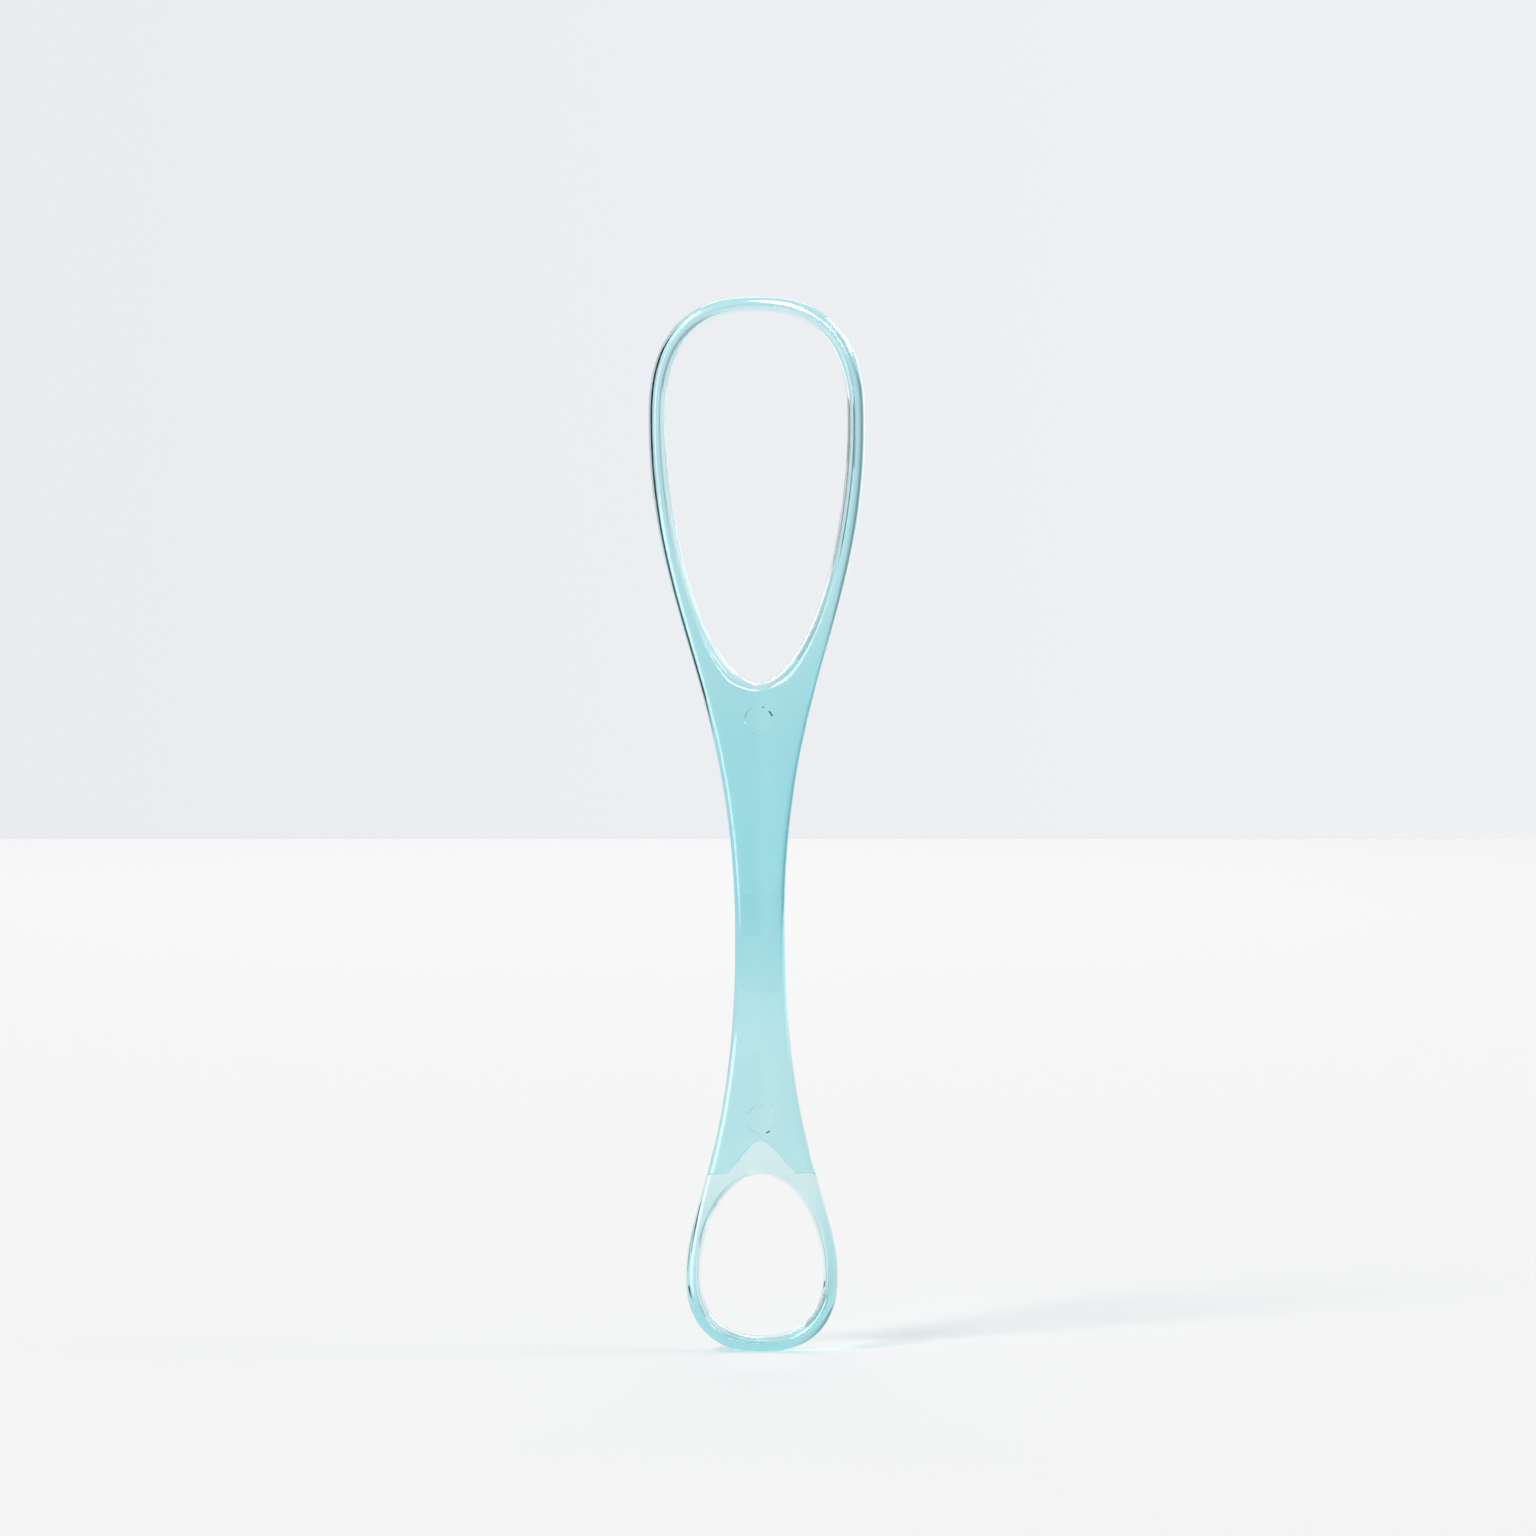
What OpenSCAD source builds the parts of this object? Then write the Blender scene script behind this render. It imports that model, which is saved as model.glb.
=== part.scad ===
// Double-ended tongue scraper, moulded in one piece from clear tinted plastic.
// It stands on its small loop: X runs across, Y from front to back and Z along the length.
// The whole back is one plane. The front swells at the grip and thins towards the web below the large
// loop and towards the step above the small one. Two soft crowns run side by side up the handle.

/* [Large loop] */
// Outside width of the large loop
large_w = 30.6; // [26:0.1:36]
// Height of the arch above the widest place of the large loop
arch_h = 17.7; // [14:0.1:22]
// Width of the band at the sides of the large loop
large_side_band = 2.4; // [1.8:0.1:3.5]
// Width of the band at the top of the large loop
large_top_band = 2.1; // [1.8:0.1:3.5]
// Length of the large hole below its widest place
large_hole_drop = 37; // [28:0.1:42]
// Thickness of the large loop
large_t = 2.5; // [2:0.1:3.2]
// Width of the scraping lip round the large hole, with the slope above it
large_lip_w = 0.95; // [0.3:0.05:1]
// Thickness of the scraping lip of the large loop
large_lip_t = 0.8; // [0.5:0.05:1.8]
// Radius of the front outer edge of both loops
loop_edge_r = 1.2; // [0.5:0.05:1.2]
// Radius of the back outer edge of both loops
loop_back_r = 1.1; // [0.3:0.05:1.1]

/* [Handle] */
// Width of the handle at its waist
waist_w = 7; // [5.5:0.1:10]
// Length from the waist up to the widest place of the large loop
neck_l = 72.3; // [62:0.1:85]
// Length from the waist down to the widest place of the small loop
tail_l = 49.1; // [42:0.1:60]
// Thickness of the handle on its two crowns, where it is thickest
handle_t = 3.8; // [3.6:0.1:5]
// Depth of the soft valley between the two crowns
crown_h = 0.1; // [0.05:0.01:0.25]
// Thickness of the handle just above the small loop
tail_t = 2.25; // [1.8:0.05:2.8]
// Radius of the front edges
edge_r = 0.9; // [0.4:0.05:1]
// Radius of the back edges
back_r = 0.4; // [0.2:0.05:0.5]

/* [Small loop] */
// Outside width of the small loop
small_w = 21.6; // [18:0.1:26]
// Height of the widest place of the small loop above its lowest point
bowl_h = 10.9; // [8:0.1:14]
// Width of the band at the sides of the small loop
small_side_band = 2; // [1.7:0.1:3]
// Width of the band at the bottom of the small loop
small_foot_band = 2; // [1.7:0.1:3]
// Length of the small hole above its widest place
small_hole_rise = 14.3; // [11:0.1:17]
// Thickness of the small loop at its lowest point
small_t = 3.5; // [2:0.1:3.6]
// Thickness of the small loop under the step
web_t = 1.05; // [0.95:0.05:1.5]
// Width of the scraping lip round the small hole, with the slope above it
small_lip_w = 0.8; // [0.3:0.05:0.85]
// Thickness of the scraping lip of the small loop
small_lip_t = 0.75; // [0.4:0.05:0.9]

/* [Step above the small loop] */
// Height of the bell-shaped step
bell_h = 4.7; // [3:0.1:6]
// Half of the width of the bell-shaped step
bell_half_w = 5.8; // [4:0.1:6.5]

/* [Moulding marks] */
// Diameter of the round marks that the ejector pins leave in the back
pin_mark_d = 4.1; // [2.5:0.1:4.4]
// Depth of the round marks
pin_mark_depth = 0.12; // [0.05:0.01:0.3]

/* [Hidden] */
plastic = [0.56, 0.82, 0.87, 0.7];

// Heights along the length, from the lowest point of the small loop
small_z = bowl_h;
waist_z = small_z + tail_l;
large_z = waist_z + neck_l;
large_hole_bottom_z = large_z - large_hole_drop;
small_hole_top_z = small_z + small_hole_rise;

// The web left between the large hole and the line where the large loop ends
web_h = 3;
large_end_z = large_hole_bottom_z - web_h;
// The step meets the sides of the moulding just above the small hole
step_rise = 0.1;
step_z = small_hole_top_z + step_rise;

// The handle is thickest a little above its waist, and tapers over these lengths
thick_rise = 9;
thick_z = waist_z + thick_rise;
neck_taper_l = 45;
tail_taper_l = 30;
// The crowns fade over this length in the arms of the large loop, and the valley is this soft
crown_fade_l = 8;
valley_soft_r = 0.5;
// Where across one side its crown is highest, counted from the valley
crown_peak_share = 0.7;
// The edges grow rounder over these lengths from the handle into each loop
large_blend_l = 32;
small_blend_l = 10;
// The pin marks lie clear of the upper and the lower end of the handle by this
upper_mark_gap = 0.4;
lower_mark_gap = 0.95;
pin_mark_overrun = 1;

// Roundness of the four curved ends, as superellipse powers: 2 is an ellipse
arch_power = 2.5;
large_hole_power = 1.85;
bowl_power = 2.4;
small_hole_rise_power = 1.92;
small_hole_foot_power = 2.25;
// How far the curve of each side runs on straight at its two ends, as shares of its length
neck_share = [0.483, 0.379];
tail_share = [0.642, 0.204];
// The most of its wall that a rounded edge or a lip may take
round_share = 0.5;
back_share = 0.3;
loop_back_share = 0.45;
lip_share = 0.9;
// How much of the lip's width is flat, before the slope begins
lip_flat_share = 0.35;
// Where on each hole the fan of sections begins that spreads over the web, as an angle
large_fan_angle = 75;
small_fan_angle = 60;
fan_power = 3;

// Numbers of facets
arch_steps = 20;
bowl_steps = 16;
side_steps = 18;
curve_steps = 60;
row_steps = 40;
flat_columns = 7;
round_columns = 4;
back_steps = 3;
half_columns = flat_columns + round_columns;

back_y = handle_t / 2;

function mix(a, b, s) = a + (b - a) * s;
function ease(s) = (1 - cos(180 * max(0, min(1, s)))) / 2;
function on_ellipse(a, b, power, angle) =
    [a * pow(max(0, cos(angle)), 2 / power), b * pow(max(0, sin(angle)), 2 / power)];
function bezier(p, s) =
    pow(1 - s, 3) * p[0] + 3 * pow(1 - s, 2) * s * p[1] + 3 * (1 - s) * s * s * p[2] + pow(s, 3) * p[3];

// The side of the moulding is two curves that meet upright at the waist
function side_curve(w0, z0, w1, z1, shares) = [
    [w0, z0],
    [w0, mix(z0, z1, shares[0])],
    [w1, mix(z1, z0, shares[1])],
    [w1, z1]
];
tail_curve = side_curve(waist_w / 2, waist_z, small_w / 2, small_z, tail_share);
neck_curve = side_curve(waist_w / 2, waist_z, large_w / 2, large_z, neck_share);
side_points = [
    for (i = [curve_steps:-1:1]) bezier(tail_curve, i / curve_steps),
    for (i = [0:curve_steps]) bezier(neck_curve, i / curve_steps)
];
side_table = [for (p = side_points) [p.y, p.x]];
// Half of the width of the moulding at height z, between the widest places of the two loops
function half_w(z) = lookup(z, side_table);
slope_span = (large_z - small_z) / curve_steps;
function side_cosine(z) = cos(atan((half_w(z + slope_span) - half_w(z - slope_span)) / (2 * slope_span)));
// How far point p = [x, z] lies inside the outer edge, where o is the edge's point beside it
function edge_distance(p, o) =
    p.y > small_z && p.y < large_z ? (half_w(p.y) - abs(p.x)) * side_cosine(p.y) : norm(o - p);

// Half of the width of the large hole at height z, and zero below the hole
function large_hole_half_w(z) =
    let (share = max(0, min(1, (large_z - z) / large_hole_drop)))
    (large_w / 2 - large_side_band) * pow(1 - pow(share, large_hole_power), 1 / large_hole_power);

// Thickness of the handle and the large loop: a taper along the length, with a crown on each side
function side_t(z) =
    z > thick_z ? mix(handle_t - crown_h, large_t, ease((z - thick_z) / neck_taper_l))
    : mix(handle_t - crown_h, tail_t, ease((thick_z - z) / tail_taper_l));
// Across one side a crown is a parabola, which reaches crown_h nearer to the edge than to the valley
function crown(p) = let (
    away = norm([p.x, valley_soft_r]) - valley_soft_r,
    inner = large_hole_half_w(p.y),
    across = max(0, min(1, (away - inner) / (half_w(p.y) - inner)))
) crown_h * (1 - pow(across / crown_peak_share - 1, 2)) * ease((large_z - p.y) / crown_fade_l);
function body_t(p) = side_t(p.y) + crown(p);
// Thickness of the small loop, which grows from the step down to its lowest point
function small_loop_t(p) = mix(small_t, web_t, ease(p.y / (step_z + bell_h)));

// How much a rounded edge of radius r takes off at distance d from the edge
function round_off(d, r) = d >= r ? 0 : r - sqrt(r * r - pow(r - max(0, d), 2));
// The share of the way from the handle's edges to the rounder edges of the loops
function in_loop(z) = ease((z - large_end_z) / large_blend_l) + ease((step_z - z) / small_blend_l);
function front_r(t, z) = min(mix(edge_r, loop_edge_r, in_loop(z)), round_share * t);
function rear_r(t, z) =
    min(mix(back_r, loop_back_r, in_loop(z)), mix(back_share, loop_back_share, in_loop(z)) * t);
function front_point(p, t, d) = [p.x, back_y - t + round_off(d, front_r(t, p.y)), p.y];
function rear_point(p, t, d) = [p.x, back_y - round_off(d, rear_r(t, p.y)), p.y];

// One section through the band of a loop, from the hole at i over the front to the edge at o and back
function section(i, o, thickness, lip_w, lip_t) = let (
    l = norm(o - i),
    t = thickness(o),
    flat_end = l - front_r(t, o.y),
    lip_end = min(lip_w, lip_share * flat_end),
    lip_edge = mix(i, o, lip_flat_share * lip_end / l),
    front = [
        lip_end,
        (lip_end + flat_end) / 2,
        for (k = [round_columns:-1:0]) l - front_r(t, o.y) * (1 - cos(90 * k / round_columns))
    ],
    rear = [for (k = [0:back_steps]) l - rear_r(t, o.y) * (1 - cos(90 * k / back_steps))]
) [
    [i.x, back_y - lip_t, i.y],
    [lip_edge.x, back_y - lip_t, lip_edge.y],
    for (s = front) let (p = mix(i, o, s / l)) front_point(p, thickness(p), edge_distance(p, o)),
    for (s = rear) let (p = mix(i, o, s / l)) rear_point(p, thickness(p), edge_distance(p, o)),
    [i.x, back_y, i.y]
];

// Place of column j of the handle, counted from the middle, where the moulding is w wide to each side
function column_x(j, w) = sign(j) * (abs(j) <= flat_columns
    ? (w - edge_r) * abs(j) / flat_columns
    : w - edge_r * (1 - cos(90 * (half_columns - abs(j)) / round_columns)));

// The step between the handle and the small loop: level at the sides, with a bell in the middle
function step_height(x) = step_z + bell_h * (1 - ease(abs(x) / bell_half_w));
step_line = [for (j = [half_columns:-1:-half_columns])
    let (z = step_height(column_x(j, half_w(step_z)))) [column_x(j, half_w(z)), z]];
// The level line between the large loop and the handle
web_line = [for (j = [half_columns:-1:-half_columns]) [column_x(j, half_w(large_end_z)), large_end_z]];

function mirrored(p) = [-p.x, p.y];
// Point at an angle on a curve given as [half width, height, power], which rises from z the given way
function curve_point(z, way, curve, angle) =
    let (p = on_ellipse(curve[0], curve[1], curve[2], angle)) [p.x, z + way * p.y];

// Each loop is a ring of [edge, hole] pairs: first the right half of its free end
function end_pairs(z, way, edge, hole, steps) = [for (k = [0:steps - 1])
    let (angle = 90 - 90 * k / steps)
    [curve_point(z, way, edge, angle), curve_point(z, way, hole, angle)]];
// Then its right side, up to where the loop meets the handle
function side_pairs(z, end_z, hole, fan_angle) =
    let (
        way = sign(end_z - z),
        fan_rise = curve_point(0, 1, hole, fan_angle).y,
        lag = abs(end_z - z) - fan_rise
    )
    [for (k = [0:side_steps - 1])
        let (
            s = k / side_steps,
            edge_rise = abs(end_z - z) * s,
            hole_rise = edge_rise - lag * pow(s, fan_power),
            angle = asin(pow(hole_rise / hole[1], hole[2] / 2))
        )
        [[half_w(z + way * edge_rise), z + way * edge_rise], curve_point(z, way, hole, angle)]];
// Last the points of the line where it meets the handle, with a fan of sections spread over them
function fan_pairs(z, way, hole, fan_angle, line) = [for (k = [0:len(line) - 1])
    let (
        j = half_columns - k,
        angle = 90 - (90 - fan_angle) * abs(j) / half_columns,
        i = curve_point(z, way, hole, angle)
    )
    [line[k], j < 0 ? mirrored(i) : i]];

function loop_pairs(right, fan) = concat(
    right, fan, [for (k = [len(right) - 1:-1:1]) [mirrored(right[k][0]), mirrored(right[k][1])]]
);

large_arch = [large_w / 2, arch_h, arch_power];
large_hole_top = [large_w / 2 - large_side_band, arch_h - large_top_band, arch_power];
large_hole_foot = [large_w / 2 - large_side_band, large_hole_drop, large_hole_power];
large_pairs = loop_pairs(
    concat(
        end_pairs(large_z, 1, large_arch, large_hole_top, arch_steps),
        side_pairs(large_z, large_end_z, large_hole_foot, large_fan_angle)
    ),
    fan_pairs(large_z, -1, large_hole_foot, large_fan_angle, web_line)
);

small_bowl = [small_w / 2, bowl_h, bowl_power];
small_hole_foot = [small_w / 2 - small_side_band, bowl_h - small_foot_band, small_hole_foot_power];
small_hole_top = [small_w / 2 - small_side_band, small_hole_rise, small_hole_rise_power];
small_pairs = loop_pairs(
    concat(
        end_pairs(small_z, -1, small_bowl, small_hole_foot, bowl_steps),
        side_pairs(small_z, step_z, small_hole_top, small_fan_angle)
    ),
    fan_pairs(small_z, 1, small_hole_top, small_fan_angle, step_line)
);

// A closed ring of sections, each joined to the next
module ring(sections) {
    n = len(sections);
    m = len(sections[0]);
    polyhedron(
        points = [for (s = sections) each s],
        faces = [for (s = [0:n - 1], k = [0:m - 1])
            let (a = s * m, b = (s + 1) % n * m, next = (k + 1) % m)
            each [[a + k, a + next, b + next], [a + k, b + next, b + k]]]
    );
}

module large_loop() {
    color(plastic)
        ring([for (pair = large_pairs)
            section(pair[1], pair[0], function (p) body_t(p), large_lip_w, large_lip_t)]);
}

module small_loop() {
    color(plastic)
        ring([for (k = [len(small_pairs) - 1:-1:0])
            section(small_pairs[k][1], small_pairs[k][0], function (p) small_loop_t(p),
                small_lip_w, small_lip_t)]);
}

// One ring of points round the handle, over the front and back again behind
function handle_row(s) = let (
    places = [for (k = [0:2 * half_columns])
        let (z = mix(step_line[k].y, large_end_z, s)) [column_x(half_columns - k, half_w(z)), z]],
    inside = [for (p = places) edge_distance(p, p)]
) concat(
    [for (k = [0:2 * half_columns]) front_point(places[k], body_t(places[k]), inside[k])],
    [for (k = [2 * half_columns:-1:0]) rear_point(places[k], body_t(places[k]), inside[k])]
);

module handle_body() {
    m = 2 * (2 * half_columns + 1);
    last = row_steps * m;
    skin = [for (r = [0:row_steps - 1], k = [0:m - 1])
        let (a = r * m, b = a + m, next = (k + 1) % m)
        each [[a + k, b + next, a + next], [a + k, b + k, b + next]]];
    ends = [for (k = [0:m / 2 - 2])
        let (a = k, b = k + 1, c = m - 2 - k, d = m - 1 - k)
        each [[a, b, c], [a, c, d], [last + a, last + c, last + b], [last + a, last + d, last + c]]];
    polyhedron(points = [for (r = [0:row_steps]) each handle_row(r / row_steps)], faces = concat(skin, ends));
}

module pin_mark(z) {
    translate([0, back_y - pin_mark_depth, z])
        rotate([-90, 0, 0])
            cylinder(d = pin_mark_d, h = pin_mark_depth + pin_mark_overrun, $fn = 48);
}

module handle() {
    color(plastic)
        difference() {
            handle_body();
            pin_mark(large_end_z - upper_mark_gap - pin_mark_d / 2);
            pin_mark(step_z + bell_h + lower_mark_gap + pin_mark_d / 2);
        }
}

large_loop();
handle();
small_loop();
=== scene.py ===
# %% [markdown]
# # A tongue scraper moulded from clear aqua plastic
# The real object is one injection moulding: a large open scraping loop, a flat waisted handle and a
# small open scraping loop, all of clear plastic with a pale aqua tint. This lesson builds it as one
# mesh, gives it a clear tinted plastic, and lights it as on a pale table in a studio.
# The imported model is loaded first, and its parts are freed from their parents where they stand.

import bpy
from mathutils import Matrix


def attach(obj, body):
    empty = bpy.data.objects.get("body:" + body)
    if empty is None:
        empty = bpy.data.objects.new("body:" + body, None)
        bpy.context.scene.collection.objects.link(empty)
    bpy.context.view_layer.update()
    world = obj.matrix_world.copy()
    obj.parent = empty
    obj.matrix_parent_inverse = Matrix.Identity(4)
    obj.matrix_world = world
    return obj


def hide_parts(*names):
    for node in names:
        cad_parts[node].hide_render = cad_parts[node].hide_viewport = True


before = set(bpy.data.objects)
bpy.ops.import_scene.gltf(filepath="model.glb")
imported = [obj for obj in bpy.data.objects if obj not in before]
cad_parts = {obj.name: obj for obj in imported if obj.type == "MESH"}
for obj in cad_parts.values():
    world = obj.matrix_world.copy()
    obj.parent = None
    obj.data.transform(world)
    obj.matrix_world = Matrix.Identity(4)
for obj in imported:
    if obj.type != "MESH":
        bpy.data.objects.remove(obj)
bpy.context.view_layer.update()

# %% [markdown]
# ## Sizes
# Blender works in metres, but a hand tool is easier to think about in millimetres. So every size of
# the plastic is written in millimetres here and becomes metres only when the mesh is made.
# X runs across, Y from front to back, and Z along the length, from the bottom of the small loop.

# %% Sizes of the moulding
import math

import bmesh
import bpy
import numpy as np
from mathutils import Matrix, Vector

MM = 0.001

large_w, arch_h, large_hole_drop = 30.6, 17.7, 37.0
large_side_band, large_top_band, large_t = 2.4, 2.1, 2.5
large_lip_w, large_lip_t = 0.95, 0.8
loop_edge_r, loop_back_r = 1.2, 1.1
waist_w, neck_l, tail_l = 7.0, 72.3, 49.1
handle_t, crown_h, tail_t, edge_r, back_r = 3.8, 0.1, 2.25, 0.9, 0.4
small_w, bowl_h, small_hole_rise = 21.6, 10.9, 14.3
small_side_band, small_foot_band, small_t, web_t = 2.0, 2.0, 3.5, 1.05
small_lip_w, small_lip_t = 0.8, 0.75
bell_h, bell_half_w = 4.7, 5.8

small_z = bowl_h
waist_z = small_z + tail_l
large_z = waist_z + neck_l
web_h, step_rise, thick_rise = 3.0, 0.1, 9.0
web_z = large_z - large_hole_drop - web_h
step_z = small_z + small_hole_rise + step_rise
thick_z = waist_z + thick_rise
back_y = handle_t / 2
print(f"length {large_z + arch_h:.1f} mm, waist at {waist_z:.1f} mm, large loop from {web_z:.1f} mm")

# %% [markdown]
# ## The outline
# The sides of a moulding like this are drawn with a few long curves. Each side here is two Bézier
# curves that meet upright at the waist, and the rounded ends are superellipses: an ellipse whose power
# is raised above 2 to fill out its corners. A handful of numbers gives a clean curve, where traced
# points would give a wavy one.

# %% Curves of the outline
arch_power, large_hole_power, bowl_power = 2.5, 1.85, 2.4
small_hole_rise_power, small_hole_foot_power = 1.92, 2.25
neck_share, tail_share = (0.483, 0.379), (0.642, 0.204)


def mix(a, b, s):
    return a + (b - a) * s


def ease(s):
    return (1 - np.cos(np.pi * np.clip(s, 0, 1))) / 2


def side_curve(w0, z0, w1, z1, shares, steps=400):
    s = np.linspace(0, 1, steps + 1)[:, None]
    handles = np.array([[w0, z0],
                        [w0, mix(z0, z1, shares[0])],
                        [w1, mix(z1, z0, shares[1])],
                        [w1, z1]])
    weights = np.hstack([(1 - s) ** 3, 3 * (1 - s) ** 2 * s, 3 * (1 - s) * s**2, s**3])
    return weights @ handles


tail = side_curve(waist_w / 2, waist_z, small_w / 2, small_z, tail_share)
neck = side_curve(waist_w / 2, waist_z, large_w / 2, large_z, neck_share)
side = np.vstack([tail[:0:-1], neck])


def half_w(z):
    return np.interp(z, side[:, 1], side[:, 0])


def edge_cosine(z, span=1.0):
    return np.cos(np.arctan((half_w(z + span) - half_w(z - span)) / (2 * span)))


print(f"half width: {half_w(waist_z):.2f} mm at the waist, {half_w(web_z):.2f} mm at the web")

# %% [markdown]
# ## The thickness
# The whole back of the moulding is one flat plane, so it can lie in half of the mould, and the front
# swells out of it. That makes the front a height field: for each place there is one thickness. It is
# greatest at the grip and thins towards both loops. Two gentle crowns run side by side up the handle
# with a shallow valley between them, and each goes on into one arm of the large loop. At the foot, the
# handle falls in a bell-shaped step to the web of the small loop, which is thin under the bell and
# thickens towards the far end. One function for all of it means that nothing shows a seam.

# %% Thickness at every place
neck_taper_l, tail_taper_l = 45.0, 30.0
crown_fade_l, valley_soft_r, crown_peak_share = 8.0, 0.5, 0.7
large_blend_l, small_blend_l = 32.0, 10.0
step_ramp = 0.24
round_share, back_share, loop_back_share, lip_share = 0.5, 0.3, 0.45, 0.9


def hole_half_w(z):
    share = np.clip((large_z - z) / large_hole_drop, 0, 1)
    return (large_w / 2 - large_side_band) * (1 - share**large_hole_power) ** (1 / large_hole_power)


def crown(x, z):
    away = np.hypot(x, valley_soft_r) - valley_soft_r
    inner = hole_half_w(z)
    across = np.clip((away - inner) / (half_w(z) - inner), 0, 1)
    return crown_h * (1 - (across / crown_peak_share - 1) ** 2) * ease((large_z - z) / crown_fade_l)


def body_t(x, z):
    grip_t = handle_t - crown_h
    up = mix(grip_t, large_t, ease((z - thick_z) / neck_taper_l))
    down = mix(grip_t, tail_t, ease((thick_z - z) / tail_taper_l))
    return np.where(z > thick_z, up, down) + crown(x, z)


def loop_t(z):
    return mix(small_t, web_t, ease(z / (step_z + bell_h)))


def step_height(x):
    return step_z + bell_h * (1 - ease(np.abs(x) / bell_half_w))


def over_step(x, z, span=0.05):
    slope = (step_height(x + span) - step_height(x - span)) / (2 * span)
    return (z - step_height(x)) * np.cos(np.arctan(slope))


def thickness(x, z):
    above = ease(over_step(x, z) / step_ramp + 0.5)
    return mix(loop_t(z), body_t(x, z), above)


def edge_distance(x, z, ox, oz):
    beside = (half_w(z) - np.abs(x)) * edge_cosine(z)
    return np.where((z > small_z) & (z < large_z), beside, np.hypot(x - ox, z - oz))


def round_off(d, r):
    inside = np.clip(r - np.maximum(0, d), 0, None)
    return r - np.sqrt(np.maximum(0, r * r - inside**2))


def in_loop(z):
    return ease((z - web_z) / large_blend_l) + ease((step_z - z) / small_blend_l)


def front_r(t, z):
    return np.minimum(mix(edge_r, loop_edge_r, in_loop(z)), round_share * t)


def rear_r(t, z):
    share = mix(back_share, loop_back_share, in_loop(z))
    return np.minimum(mix(back_r, loop_back_r, in_loop(z)), share * t)


bell_middle_z = step_z + bell_h / 2
print(f"thickness: {thickness(0.0, thick_z):.2f} mm at the grip, "
      f"{thickness(0.0, bell_middle_z):.2f} mm in the bell")

# %% [markdown]
# ## A section through a loop
# Cut through the band of either loop, the plastic shows a flat back with softly rounded corners, an
# outer edge with a generous radius, and on the side of the hole a thin scraping lip, from which a steep
# slope leads up to the band. The points are crowded where the surface turns, so that smooth shading and
# the refraction behind it stay clean, and spread out where it is flat.

# %% One section of a loop
round_steps, rear_steps, wall_steps, lip_steps, slope_steps, flat_steps = 12, 5, 3, 4, 10, 7
back_points, heel_steps = 5, 3
lip_r, heel_r = 0.12, 0.15
lip_flat_share = 0.35


def quarter(steps):
    return 1 - np.cos(np.linspace(0, np.pi / 2, steps + 1))


def section(hole, edge, lip_w, lip_t):
    (ix, iz), (ox, oz) = hole, edge
    band_w = math.hypot(ox - ix, oz - iz)
    t_edge = float(thickness(np.array(ox), np.array(oz)))
    r_front = float(front_r(t_edge, oz))
    r_back = float(rear_r(t_edge, oz))
    flat_end = band_w - r_front
    lip_end = min(lip_w, lip_share * flat_end)
    slope_w = lip_end * (1 - lip_flat_share)
    slopes = lip_end - slope_w * np.linspace(1, 0, slope_steps + 1)
    flats = mix(lip_end, flat_end, np.linspace(0, 1, flat_steps))
    rounds = (band_w - r_front * quarter(round_steps))[::-1]
    s = np.concatenate([lip_r * quarter(lip_steps), slopes, flats[1:-1], rounds])
    x, z = mix(ix, ox, s / band_w), mix(iz, oz, s / band_w)
    full = thickness(x, z)
    t = mix(lip_t, full, np.clip((s - lip_end + slope_w) / slope_w, 0, 1))
    d = edge_distance(x, z, ox, oz)
    y = back_y - t + round_off(s, lip_r) + round_off(d, front_r(full, z))
    front = np.column_stack([x, y, z])
    s = np.concatenate([band_w - r_back * quarter(rear_steps)[:-1],
                        mix(band_w - r_back, heel_r, np.linspace(0, 1, back_points))[:-1],
                        (heel_r * quarter(heel_steps))[::-1]])
    x, z = mix(ix, ox, s / band_w), mix(iz, oz, s / band_w)
    d = edge_distance(x, z, ox, oz)
    y = back_y - round_off(d, rear_r(thickness(x, z), z)) - round_off(s, heel_r)
    rear = np.column_stack([x, y, z])
    return front, rear


top_z = large_z + arch_h
front, rear = section((0, top_z - large_top_band), (0, top_z), large_lip_w, large_lip_t)
print(f"a section has {len(front)} points in front and {len(rear)} behind")

# %% [markdown]
# ## Where the sections stand
# Each loop is a ring of such sections. Round the free end, the edge and the hole are superellipses, and
# a section joins their points at the same angle. Along the sides the places on the edge are evenly
# spaced. Where the loop grows out of the handle, the sections open like a fan from the foot of the hole
# to the points of the handle's first or last row, so the two meet point on point.

# %% Stations round the two loops
large_end_steps, large_side_steps, large_fan_angle = 64, 70, math.radians(75)
small_end_steps, small_side_steps, small_fan_angle = 56, 48, math.radians(60)
flat_columns, round_columns = 22, 10
half_columns = flat_columns + round_columns
columns = np.arange(half_columns, -half_columns - 1, -1)


def column_x(j, w):
    j = np.asarray(j)
    inner = (w - edge_r) * np.abs(j) / flat_columns
    outer = w - edge_r * (1 - np.cos(np.pi / 2 * (half_columns - np.abs(j)) / round_columns))
    return np.sign(j) * np.where(np.abs(j) <= flat_columns, inner, outer)


def on_curve(z, way, curve, angle):
    a, b, power = curve
    c, s = max(0.0, math.cos(angle)), max(0.0, math.sin(angle))
    return a * c ** (2 / power), z + way * b * s ** (2 / power)


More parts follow.
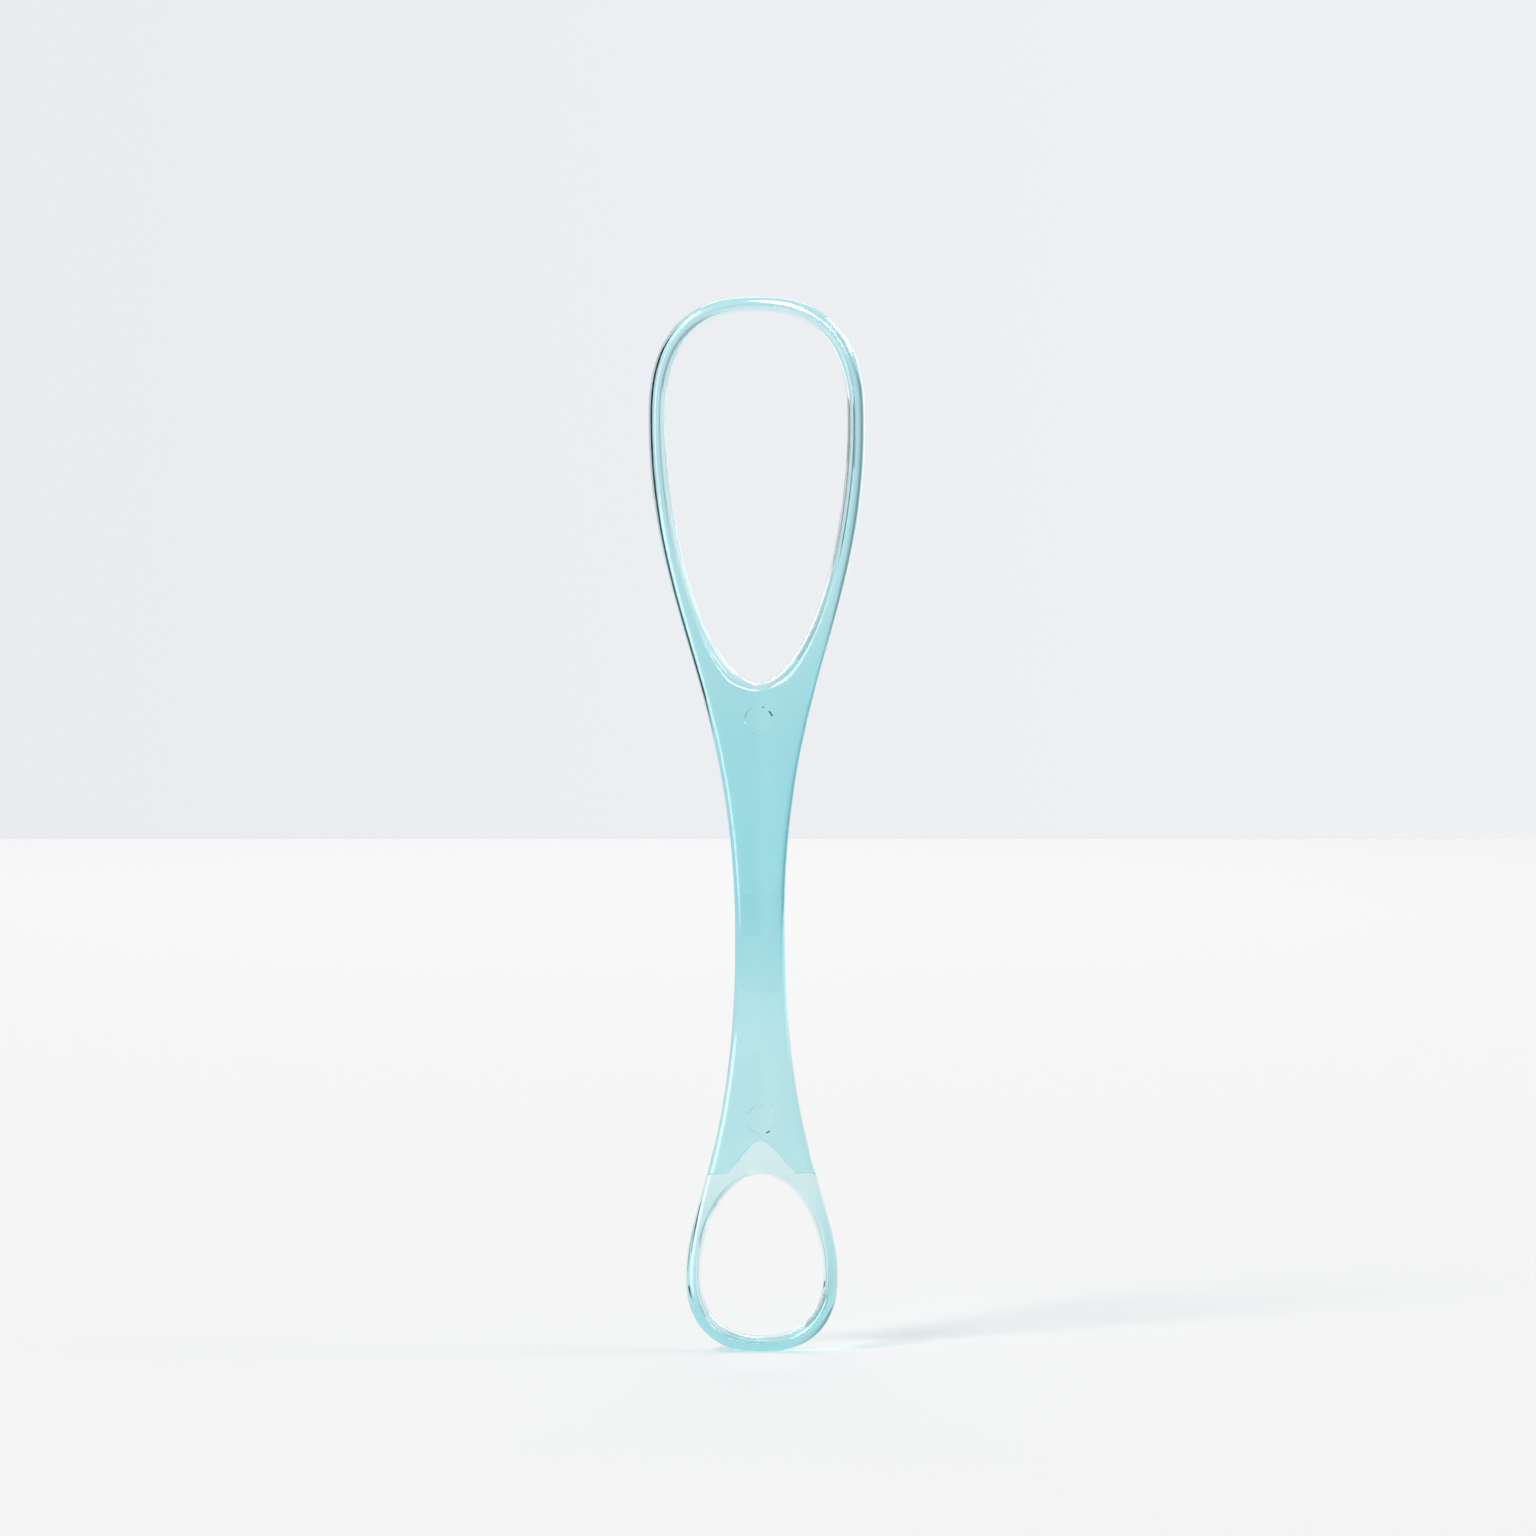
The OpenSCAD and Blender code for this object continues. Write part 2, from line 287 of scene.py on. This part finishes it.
def stations(z, end_z, edge, free_hole, hole, fan_angle, line, end_steps, side_steps):
    way = 1 if end_z > z else -1
    right = []
    for k in range(end_steps):
        angle = math.pi / 2 * (1 - k / end_steps)
        right.append((on_curve(z, -way, edge, angle), on_curve(z, -way, free_hole, angle)))
    fan_rise = on_curve(0, 1, hole, fan_angle)[1]
    lag = abs(end_z - z) - fan_rise
    for k in range(side_steps):
        s = k / side_steps
        edge_rise = abs(end_z - z) * s
        rise = edge_rise - lag * s**3
        angle = math.asin((rise / hole[1]) ** (hole[2] / 2))
        edge_z = z + way * edge_rise
        right.append(((float(half_w(edge_z)), edge_z), on_curve(z, way, hole, angle)))
    fan = []
    for j, place in zip(columns, line):
        angle = math.pi / 2 - (math.pi / 2 - fan_angle) * abs(j) / half_columns
        ix, iz = on_curve(z, way, hole, angle)
        fan.append((tuple(place), (ix if j >= 0 else -ix, iz)))
    left = [((-edge_x, edge_z), (-hole_x, hole_z))
            for (edge_x, edge_z), (hole_x, hole_z) in right[:0:-1]]
    return right, fan, left


def level_line(z):
    return np.column_stack([column_x(columns, half_w(z)), np.full(len(columns), z)])


step_x = column_x(columns, half_w(step_z))
step_line_z = step_height(step_x)
step_line = np.column_stack([column_x(columns, half_w(step_line_z)), step_line_z])

large_hole_half = large_w / 2 - large_side_band
large = stations(large_z, web_z, (large_w / 2, arch_h, arch_power),
                 (large_hole_half, arch_h - large_top_band, arch_power),
                 (large_hole_half, large_hole_drop, large_hole_power),
                 large_fan_angle, level_line(web_z), large_end_steps, large_side_steps)
small_hole_half = small_w / 2 - small_side_band
small = stations(small_z, step_z, (small_w / 2, bowl_h, bowl_power),
                 (small_hole_half, bowl_h - small_foot_band, small_hole_foot_power),
                 (small_hole_half, small_hole_rise, small_hole_rise_power),
                 small_fan_angle, step_line, small_end_steps, small_side_steps)
print("stations:", [len(part) for part in large], [len(part) for part in small])

# %% [markdown]
# ## Sweeping the loops
# The sections of a loop become one skin by joining each point to its neighbours in the next section.
# A section on the outer edge closes over the outer wall. A section of the fan ends inside the plastic,
# on the handle's row, so there the front and the back stay open and the handle takes over.
# The vertices are kept in one table and looked up by their place, to half a micrometre, which welds
# what meets.

# %% Skin of the loops
WELD_STEPS_PER_MM = 2000
SKIN_PARTS = ("front", "rear", "inner", "outer")
points, faces, index_of = [], [], {}


def vertex(p):
    key = tuple(round(float(c) * WELD_STEPS_PER_MM) for c in p)
    if key not in index_of:
        index_of[key] = len(points)
        points.append(tuple(float(c) * MM for c in p))
    return index_of[key]


def quads(row_a, row_b, flip):
    for k in range(len(row_a) - 1):
        corners = [row_a[k], row_a[k + 1], row_b[k + 1], row_b[k]]
        corners = [c for n, c in enumerate(corners) if c != corners[n - 1]]
        if len(corners) > 2:
            faces.append(corners[::-1] if flip else corners)


def wall(a, b):
    return [mix(a, b, k / (wall_steps + 1)) for k in range(1, wall_steps + 1)]


def sweep(parts, lip_w, lip_t, flip):
    right, fan, left = parts
    ring = right + fan + left
    fan_start = len(right)
    fan_end = fan_start + len(fan) - 1
    rows = []
    for edge, hole in ring:
        front, rear = section(hole, edge, lip_w, lip_t)
        outer = wall(front[-1], rear[0])
        inner = wall(rear[-1], front[0])
        rows.append({
            "front": [vertex(p) for p in front],
            "rear": [vertex(p) for p in rear],
            "outer": [vertex(p) for p in [front[-1], *outer, rear[0]]],
            "inner": [vertex(p) for p in [rear[-1], *inner, front[0]]],
        })
    for n, row in enumerate(rows):
        after = (n + 1) % len(rows)
        within_fan = fan_start <= n < fan_end
        for part in SKIN_PARTS:
            if part != "outer" or not within_fan:
                quads(row[part], rows[after][part], flip)


sweep(large, large_lip_w, large_lip_t, False)
sweep(small, small_lip_w, small_lip_t, True)
print(f"loops: {len(points)} vertices, {len(faces)} faces")

# %% [markdown]
# ## Lofting the handle
# The handle is a loft: rows of points across it, from the bell-shaped line of the step up to the level
# line of the web. The rows lie close together just above the step, where the plastic rises steeply, and
# evenly further up.

# %% Skin of the handle
steep = step_ramp * np.array([0, 0.03, 0.12, 0.27, 0.47, 0.72, 1.1, 1.8, 3.0])
row_count = 150


def handle_row(rise, s):
    z = mix(step_line[:, 1] + rise, web_z, s)
    w = half_w(z)
    x = column_x(columns, w)
    t = thickness(x, z)
    d = edge_distance(x, z, x, z)
    front = np.column_stack([x, back_y - t + round_off(d, front_r(t, z)), z])
    rear = np.column_stack([x, back_y - round_off(d, rear_r(t, z)), z])[::-1]
    right_wall = wall(front[0], rear[-1])
    left_wall = wall(front[-1], rear[0])
    return [vertex(p) for p in [*front, *left_wall, *rear, *right_wall[::-1]]]


rows = [handle_row(rise, 0) for rise in steep[:-1]]
rows += [handle_row(steep[-1] * (1 - s), s) for s in np.linspace(0, 1, row_count)]
for low, high in zip(rows, rows[1:]):
    quads(low + low[:1], high + high[:1], True)
print(f"whole skin: {len(points)} vertices, {len(faces)} faces")

# %% [markdown]
# ## From lists to a mesh
# Blender makes a mesh from the lists of points and faces. Faces that have shrunk to nothing are taken
# out, and all faces are turned outwards, because refraction goes wrong where a face looks inwards. In a
# closed skin each edge has just two faces. An edge with any other number is a fault, so these are
# counted, and the count has to be 0.

# %% Make the mesh object
tiny_edge_m = 1e-7

mesh = bpy.data.meshes.new("clear_moulding")
mesh.from_pydata(points, [], faces)
skin = bmesh.new()
skin.from_mesh(mesh)
bmesh.ops.dissolve_degenerate(skin, dist=tiny_edge_m, edges=skin.edges)
bmesh.ops.recalc_face_normals(skin, faces=skin.faces)
open_edges = sum(1 for e in skin.edges if len(e.link_faces) != 2)
volume = skin.calc_volume()
print(f"open edges: {open_edges}, volume {volume / MM**3:.0f} mm3")
skin.to_mesh(mesh)
skin.free()
moulding = bpy.data.objects.new("clear_moulding", mesh)
bpy.context.scene.collection.objects.link(moulding)
for face in mesh.polygons:
    face.use_smooth = True

# %% [markdown]
# ## Marks of the ejector pins
# Two round pins push such a moulding out of its mould, and each leaves a shallow round recess in the
# back. Through the clear plastic it shows as a thin pale ring. Two short cones are taken out of the back
# with a Boolean, because their sloping sides bend the light as the real rims do. The rims are then
# marked sharp, or smooth shading would smear them across the flat back.

# %% Cut the marks
pin_mark_d, pin_mark_depth, pin_slope_w = 4.1, 0.12, 0.2
upper_mark_gap, lower_mark_gap = 0.4, 0.95
cone_segments, sharp_angle = 96, math.radians(15)
pin_marks = [web_z - upper_mark_gap - pin_mark_d / 2, step_z + bell_h + lower_mark_gap + pin_mark_d / 2]

floor_r = (pin_mark_d - pin_slope_w) / 2
outside_r = floor_r + 2 * pin_slope_w
cones = bmesh.new()
for z in pin_marks:
    place = Matrix.Translation(Vector((0, back_y, z)) * MM) @ Matrix.Rotation(math.pi / 2, 4, "X")
    bmesh.ops.create_cone(cones, cap_ends=True, segments=cone_segments, radius1=outside_r * MM,
                          radius2=floor_r * MM, depth=2 * pin_mark_depth * MM, matrix=place)
cone_mesh = bpy.data.meshes.new("pin_cones")
cones.to_mesh(cone_mesh)
cones.free()
cutter = bpy.data.objects.new("pin_cones", cone_mesh)
bpy.context.scene.collection.objects.link(cutter)
cut = moulding.modifiers.new("pin_marks", "BOOLEAN")
cut.operation = "DIFFERENCE"
cut.solver = "EXACT"
cut.object = cutter
mesh = bpy.data.meshes.new_from_object(moulding.evaluated_get(bpy.context.evaluated_depsgraph_get()))
mesh.name = "clear_moulding_marked"
moulding.modifiers.remove(cut)
moulding.data = mesh
bpy.data.objects.remove(cutter)


def near_mark(p):
    return any(math.hypot(p.x, p.z - z * MM) < pin_mark_d * MM for z in pin_marks) and p.y > 0


skin = bmesh.new()
skin.from_mesh(mesh)
for edge in skin.edges:
    if all(near_mark(v.co) for v in edge.verts) and edge.calc_face_angle(0) > sharp_angle:
        edge.smooth = False
open_edges = sum(1 for edge in skin.edges if len(edge.link_faces) != 2)
rims = sum(1 for edge in skin.edges if not edge.smooth)
print(f"after the cut: {len(skin.faces)} faces, open edges {open_edges}, sharp edges {rims}")
skin.to_mesh(mesh)
skin.free()

# %% [markdown]
# ## The plastic
# Clear plastic bends light at its faces and takes some of it away on the path between them. So the
# surface itself is colourless: the tint is a volume absorption that eats red light much faster than
# green and blue, and thick places come out deeper by themselves, as in the photograph. Reflection and
# refraction share one Principled shader. Its index of refraction, 1.52, is a guess between the 1.49 of
# acrylic and the 1.59 of polystyrene, since a photograph doesn't tell which plastic it is.
# Real mouldings are never quite even, so noise varies the gloss a little and a faint bump bends the
# reflections. Lamps are let through to the table by a transparent shader for shadow rays, because
# sharp caustics would need far more samples.

# %% Clear aqua plastic
def new_material(name):
    material = bpy.data.materials.new(name)
    material.use_nodes = True
    material.node_tree.nodes.clear()
    return material, material.node_tree.nodes, material.node_tree.links


plastic, nodes, links = new_material("clear_aqua_plastic")
output = nodes.new("ShaderNodeOutputMaterial")
body = nodes.new("ShaderNodeBsdfPrincipled")
body.inputs["Base Color"].default_value = (1.0, 1.0, 1.0, 1.0)
body.inputs["IOR"].default_value = 1.52
body.inputs["Transmission Weight"].default_value = 1.0

coordinates = nodes.new("ShaderNodeTexCoord")
sheen_noise = nodes.new("ShaderNodeTexNoise")
sheen_noise.inputs["Scale"].default_value = 420.0
sheen_noise.inputs["Detail"].default_value = 3.0
links.new(coordinates.outputs["Object"], sheen_noise.inputs["Vector"])
sheen = nodes.new("ShaderNodeMapRange")
sheen.inputs["From Min"].default_value = 0.3
sheen.inputs["From Max"].default_value = 0.75
sheen.inputs["To Min"].default_value = 0.015
sheen.inputs["To Max"].default_value = 0.05
links.new(sheen_noise.outputs["Fac"], sheen.inputs["Value"])
links.new(sheen.outputs["Result"], body.inputs["Roughness"])

flow = nodes.new("ShaderNodeTexNoise")
flow.inputs["Scale"].default_value = 90.0
flow.inputs["Detail"].default_value = 1.0
links.new(coordinates.outputs["Object"], flow.inputs["Vector"])
wave = nodes.new("ShaderNodeBump")
wave.inputs["Strength"].default_value = 0.03
wave.inputs["Distance"].default_value = 0.0002
links.new(flow.outputs["Fac"], wave.inputs["Height"])
links.new(wave.outputs["Normal"], body.inputs["Normal"])

for_lamps = nodes.new("ShaderNodeBsdfTransparent")
for_lamps.inputs["Color"].default_value = (0.68, 0.71, 0.72, 1.0)
path = nodes.new("ShaderNodeLightPath")
choose = nodes.new("ShaderNodeMixShader")
links.new(path.outputs["Is Shadow Ray"], choose.inputs["Fac"])
links.new(body.outputs["BSDF"], choose.inputs[1])
links.new(for_lamps.outputs["BSDF"], choose.inputs[2])
links.new(choose.outputs["Shader"], output.inputs["Surface"])

tint = nodes.new("ShaderNodeVolumeAbsorption")
tint.inputs["Color"].default_value = (0.0, 0.75, 0.81, 1.0)
tint.inputs["Density"].default_value = 285.0
links.new(tint.outputs["Volume"], output.inputs["Volume"])

mesh.materials.append(plastic)
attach(moulding, "root")
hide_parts("large_loop", "handle", "small_loop")
print("the moulding stands for the nodes", sorted(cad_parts))

# %% [markdown]
# ## Who sees a glow
# Some things in this scene glow: the table a little, the wall, and the cards further down. A glow is for
# whatever looks at them: the camera, a reflection, or the view through the plastic. Light that has
# already been scattered gets none, or the clear foot would throw a bright patch round itself. The Light
# Path node tells these rays apart, so one helper makes a factor that is 1 for rays that look and 0 for
# the others.

# %% Rays that look at things
SEEN = ("Is Camera Ray", "Is Glossy Ray", "Is Transmission Ray")


def looking(nodes, links):
    path = nodes.new("ShaderNodeLightPath")
    total = path.outputs[SEEN[0]]
    for name in SEEN[1:]:
        either = nodes.new("ShaderNodeMath")
        either.operation = "MAXIMUM"
        links.new(total, either.inputs[0])
        links.new(path.outputs[name], either.inputs[1])
        total = either.outputs[0]
    unscattered = nodes.new("ShaderNodeMath")
    unscattered.operation = "SUBTRACT"
    unscattered.use_clamp = True
    links.new(total, unscattered.inputs[0])
    links.new(path.outputs["Diffuse Depth"], unscattered.inputs[1])
    return unscattered.outputs[0]


print("these rays see the glow, the wall and the cards:", SEEN)

# %% [markdown]
# ## The paint of the table
# The photograph shows a white table. It is lit like any surface, so that it keeps the shadow of the
# scraper, and the little that it still lacks beside the photograph is added as a glow. Its highlight is
# switched off, because from behind, against the main light, a shiny table turns quite white. The price
# is the faint mirror image under the scraper, which the photograph has and this table doesn't.

# %% White paint of the table
table_top, nodes, links = new_material("white_table")
output = nodes.new("ShaderNodeOutputMaterial")
paint = nodes.new("ShaderNodeBsdfPrincipled")
paint.inputs["Base Color"].default_value = (0.80, 0.80, 0.80, 1.0)
paint.inputs["Roughness"].default_value = 0.32
paint.inputs["Specular IOR Level"].default_value = 0.0
glow = nodes.new("ShaderNodeEmission")
glow.inputs["Color"].default_value = (0.058, 0.055, 0.05, 1.0)
links.new(looking(nodes, links), glow.inputs["Strength"])
both = nodes.new("ShaderNodeAddShader")
links.new(paint.outputs["BSDF"], both.inputs[0])
links.new(glow.outputs["Emission"], both.inputs[1])
links.new(both.outputs["Shader"], output.inputs["Surface"])
print("painted:", table_top.name)

# %% [markdown]
# ## The table
# The far edge of the table cuts across the picture, and one four-cornered face does for it. Its right
# side ends just outside the picture. The camera leans a third of a degree against the scraper, so the
# table leans with it to look level.

# %% Table
lean = math.radians(0.353)
table_near_y, table_far_y = -0.29, 1.205
table_left, near_right, far_right = -0.9, 0.095, 0.265
table_drop = 0.00002

table_mesh = bpy.data.meshes.new("table")
corners = [(table_left, table_near_y, 0), (near_right, table_near_y, 0),
           (far_right, table_far_y, 0), (table_left, table_far_y, 0)]
table_mesh.from_pydata(corners, [], [(0, 1, 2, 3)])
table_mesh.materials.append(table_top)
table = bpy.data.objects.new("table", table_mesh)
table.rotation_euler = (0, lean, 0)
table.location = (0, 0, -table_drop)
bpy.context.scene.collection.objects.link(table)
print(f"table: {table_far_y - table_near_y:.2f} m deep")

# %% [markdown]
# ## The room
# The world is what a ray meets when it meets nothing else. Here it has two tasks. It lights everything
# evenly and weakly from all sides, and for rays that look, it is also the wall and the room, with no
# backdrop to build. A mix of shaders, driven by the helper above, keeps the two tasks apart. A second
# helper blends two colours along a direction, for the wall and for the ceiling.

# %% Even light of the room
world = bpy.data.worlds.new("room")
bpy.context.scene.world = world
world.use_nodes = True
nodes, links = world.node_tree.nodes, world.node_tree.links
nodes.clear()
output = nodes.new("ShaderNodeOutputWorld")
wall_light = nodes.new("ShaderNodeBackground")
wall_light.inputs["Color"].default_value = (0.80, 0.81, 0.83, 1.0)
wall_light.inputs["Strength"].default_value = 0.5
choose = nodes.new("ShaderNodeMixShader")
links.new(looking(nodes, links), choose.inputs["Fac"])
links.new(wall_light.outputs["Background"], choose.inputs[1])
links.new(choose.outputs["Shader"], output.inputs["Surface"])

direction = nodes.new("ShaderNodeTexCoord")
parts = nodes.new("ShaderNodeSeparateXYZ")
links.new(direction.outputs["Generated"], parts.inputs["Vector"])


def between(value, low, high, color_a, color_b):
    share = nodes.new("ShaderNodeMapRange")
    share.inputs["From Min"].default_value = low
    share.inputs["From Max"].default_value = high
    links.new(value, share.inputs["Value"])
    blend = nodes.new("ShaderNodeMix")
    blend.data_type = "RGBA"
    links.new(share.outputs["Result"], blend.inputs["Factor"])
    for name, color in (("A", color_a), ("B", color_b)):
        if isinstance(color, tuple):
            blend.inputs[name].default_value = color
        else:
            links.new(color, blend.inputs[name])
    background = nodes.new("ShaderNodeBackground")
    links.new(blend.outputs["Result"], background.inputs["Color"])
    return background.outputs["Background"]


print("even light, strength", wall_light.inputs["Strength"].default_value)

# %% [markdown]
# ## The wall
# Beyond the table stands a pale grey wall. It is painted a little lighter on the right, which is painted
# light falling from that side. Only the camera sees it. The X of a ray's direction says how far to the side
# it goes, so it can blend the two greys.

# %% Wall behind the table
wall_side = 0.09
# the lighter right grey is painted light, not a second paint on the wall
wall_left, wall_right = (0.826, 0.838, 0.868, 1.0), (0.868, 0.876, 0.893, 1.0)

wall_seen = between(parts.outputs["X"], -wall_side, wall_side, wall_left, wall_right)
print("wall from", wall_left[:3], "to", wall_right[:3])

# %% [markdown]
# ## The room in the plastic
# Clear plastic shows more of a room than the camera does. Through the flat parts it shows nearly the same
# pale grey, but the rounded edges bend the view far round, to places beside and behind the camera. A
# colour ramp round the horizon stands for them, with a pale ceiling above. Its angles start straight
# behind the scraper, plus to the right and minus to the left. The dark parts draw the thin dark outlines,
# and the bright window at the front left draws the long white line down the left edge of the handle.
# The ramp is matched to the front view alone. From the side, or from behind at an angle, the plastic
# looks straight at its dark stretches and turns slate grey or nearly black there. A scene that is shown
# from all sides needs a paler ramp.

# %% Room round the scraper
ROOM = [(180, 0.6), (172, 0.1), (100, 0.1), (76, 0.05), (68, 0.75), (48, 0.75), (38, 0.9), (8, 0.91),
        (-8, 0.9), (-16, 0.75), (-26, 0.4), (-38, 0.4), (-46, 0.85), (-66, 0.85), (-72, 0.1), (-104, 0.1),
        (-112, 7.0), (-155, 7.0), (-163, 2.0), (-174, 1.2), (-180, 0.6)]
room_blue = 1.02
ceiling_low, ceiling_high, ceiling = 0.55, 0.85, (0.95, 0.95, 0.97, 1.0)

turn = nodes.new("ShaderNodeMapping")
turn.inputs["Rotation"].default_value = (0, 0, -math.pi / 2)
links.new(direction.outputs["Generated"], turn.inputs["Vector"])
around = nodes.new("ShaderNodeTexGradient")
around.gradient_type = "RADIAL"
links.new(turn.outputs["Vector"], around.inputs["Vector"])
ramp = nodes.new("ShaderNodeValToRGB")
stops = ramp.color_ramp.elements
for n, (angle, _) in enumerate(ROOM):
    place = 0.5 - angle / 360
    stop = stops[n] if n < len(stops) else stops.new(place)
    stop.position = place
for n, (_, level) in enumerate(ROOM):
    stops[n].color = (level, level, level * room_blue, 1.0)
links.new(around.outputs["Fac"], ramp.inputs["Fac"])

room_seen = between(parts.outputs["Z"], ceiling_low, ceiling_high, ramp.outputs["Color"], ceiling)
straight = nodes.new("ShaderNodeLightPath")
seen = nodes.new("ShaderNodeMixShader")
links.new(straight.outputs["Is Camera Ray"], seen.inputs["Fac"])
links.new(room_seen, seen.inputs[1])
links.new(wall_seen, seen.inputs[2])
links.new(seen.outputs["Shader"], choose.inputs[2])
print(f"the room has {len(stops)} steps round the horizon")

# %% [markdown]
# ## Lamps
# A large softbox up at the front left is the main light and throws the soft shadow to the right. A small
# one fills in from the right, and one hangs over the far end of the table, which would go grey without
# it. That last one would glare through the top of the large loop, so the plastic doesn't pass it on.

# %% Three softboxes
def aim(thing, place, target):
    thing.location = place
    thing.rotation_euler = (Vector(target) - Vector(place)).to_track_quat("-Z", "Y").to_euler()


def softbox(name, place, width, height, watts, target=(0, 0, 0.07)):
    lamp = bpy.data.lights.new(name, "AREA")
    lamp.shape = "RECTANGLE"
    lamp.size, lamp.size_y = width, height
    lamp.energy = watts
    thing = bpy.data.objects.new(name, lamp)
    aim(thing, place, target)
    thing.visible_camera = False
    bpy.context.scene.collection.objects.link(thing)
    return thing


softbox("key_softbox", (-1.32, -1.11, 2.05), 0.7, 0.7, 37.2)
softbox("side_softbox", (1.05, 0.0, 1.15), 0.4, 0.4, 5.0)
far_softbox = softbox("far_softbox", (0.0, 1.25, 1.2), 1.0, 0.5, 7.1, target=(0, 1.1, 0))
far_softbox.visible_transmission = False

# %% [markdown]
# ## White cards
# Clear things are drawn by what they mirror. Two white cards stand where the top and the right shoulder
# of the large loop mirror them, and make the two white patches of the photograph. A card is one face
# that glows, hidden from the camera, and it lights nothing else.

# %% Cards for the reflections
def card(name, level, corners):
    material, nodes, links = new_material(name)
    output = nodes.new("ShaderNodeOutputMaterial")
    face = nodes.new("ShaderNodeEmission")
    face.inputs["Color"].default_value = (level, level, level, 1.0)
    links.new(looking(nodes, links), face.inputs["Strength"])
    links.new(face.outputs["Emission"], output.inputs["Surface"])
    mesh = bpy.data.meshes.new(name)
    mesh.from_pydata(corners, [], [(0, 1, 2, 3)])
    mesh.materials.append(material)
    thing = bpy.data.objects.new(name, mesh)
    thing.visible_camera = False
    thing.visible_diffuse = False
    thing.visible_shadow = False
    bpy.context.scene.collection.objects.link(thing)
    return thing


def mirror_card(name, level, place, width, height, target):
    w, h = width / 2, height / 2
    thing = card(name, level, [(-w, -h, 0), (w, -h, 0), (w, h, 0), (-w, h, 0)])
    aim(thing, place, target)
    thing.visible_transmission = False


mirror_card("side_card", 20.0, (0.95, 0.2, 0.8), 1.1, 0.5, (0, 0, 0.145))
mirror_card("top_card", 18.0, (0.14, -0.75, 0.7), 0.26, 1.1, (0, 0, 0.15))

# %% [markdown]
# ## Dark flags
# A photographer darkens one edge of a clear thing with a flag: a black card just out of the picture,
# where only that edge sees it. The flags here stand 13 cm behind the scraper or lie on the table, and
# they show in the plastic alone. The two that lie on the table are painted shade on it. The grey one
# behind the right corner of the foot is a painted contact shadow of the scraper, and the dark one
# darkens the left outer edge of the small loop. The left outer edges bend the view to the right, and
# the right ones to the left, so a flag well off to one side darkens one arm of a loop and leaves the
# other clear. A pale one does the opposite for the scraping slope of the left arm. Their places are in
# millimetres.

# %% Flags behind the scraper
def flag(name, level, corners):
    thing = card(name, level, [(x * MM, y * MM, z * MM) for x, y, z in corners])
    thing.visible_glossy = False


def upright(left, right, low, high, y=130):
    return [(left, y, low), (right, y, low), (right, y, high), (left, y, high)]


def lying(left, right, near, far, z=0.5):
    return [(left, near, z), (right, near, z), (right, far, z), (left, far, z)]


flag("shoulder_flag", 0.02, upright(38, 87, 98, 138))
flag("arm_flag", 0.45, upright(14, 38, 124, 145))
flag("slope_card", 0.85, upright(-180, -90, 90, 150))
# the two sheets lying on the table are painted shade, seen only through the plastic
flag("low_painted_shade", 0.02, lying(12, 28, 54, 68))
flag("painted_contact_shadow", 0.55, lying(8, 28, 2, 45))

# %% [markdown]
# ## The camera
# The photograph looks as if it was taken from about a metre, a little above the scraper and looking
# slightly down. That distance is a guess. The lens follows from it and from the size of the scraper in
# the picture, and the roll from the scraper's lean.

# %% Camera
camera_data = bpy.data.cameras.new("camera")
camera_data.sensor_width = 36.0
camera_data.lens = 165.33
camera_data.dof.use_dof = False
camera = bpy.data.objects.new("camera", camera_data)
camera_place = Vector((0.00130, -1.0, 0.1338))
pitch = math.radians(2.896)
camera.matrix_world = (Matrix.Translation(camera_place)
                       @ Matrix.Rotation(math.pi / 2 - pitch, 4, "X") @ Matrix.Rotation(-lean, 4, "Z"))
bpy.context.scene.collection.objects.link(camera)
bpy.context.scene.camera = camera
bpy.context.scene.view_settings.view_transform = "Standard"
print("camera looks down by", round(math.degrees(pitch), 3), "degrees")
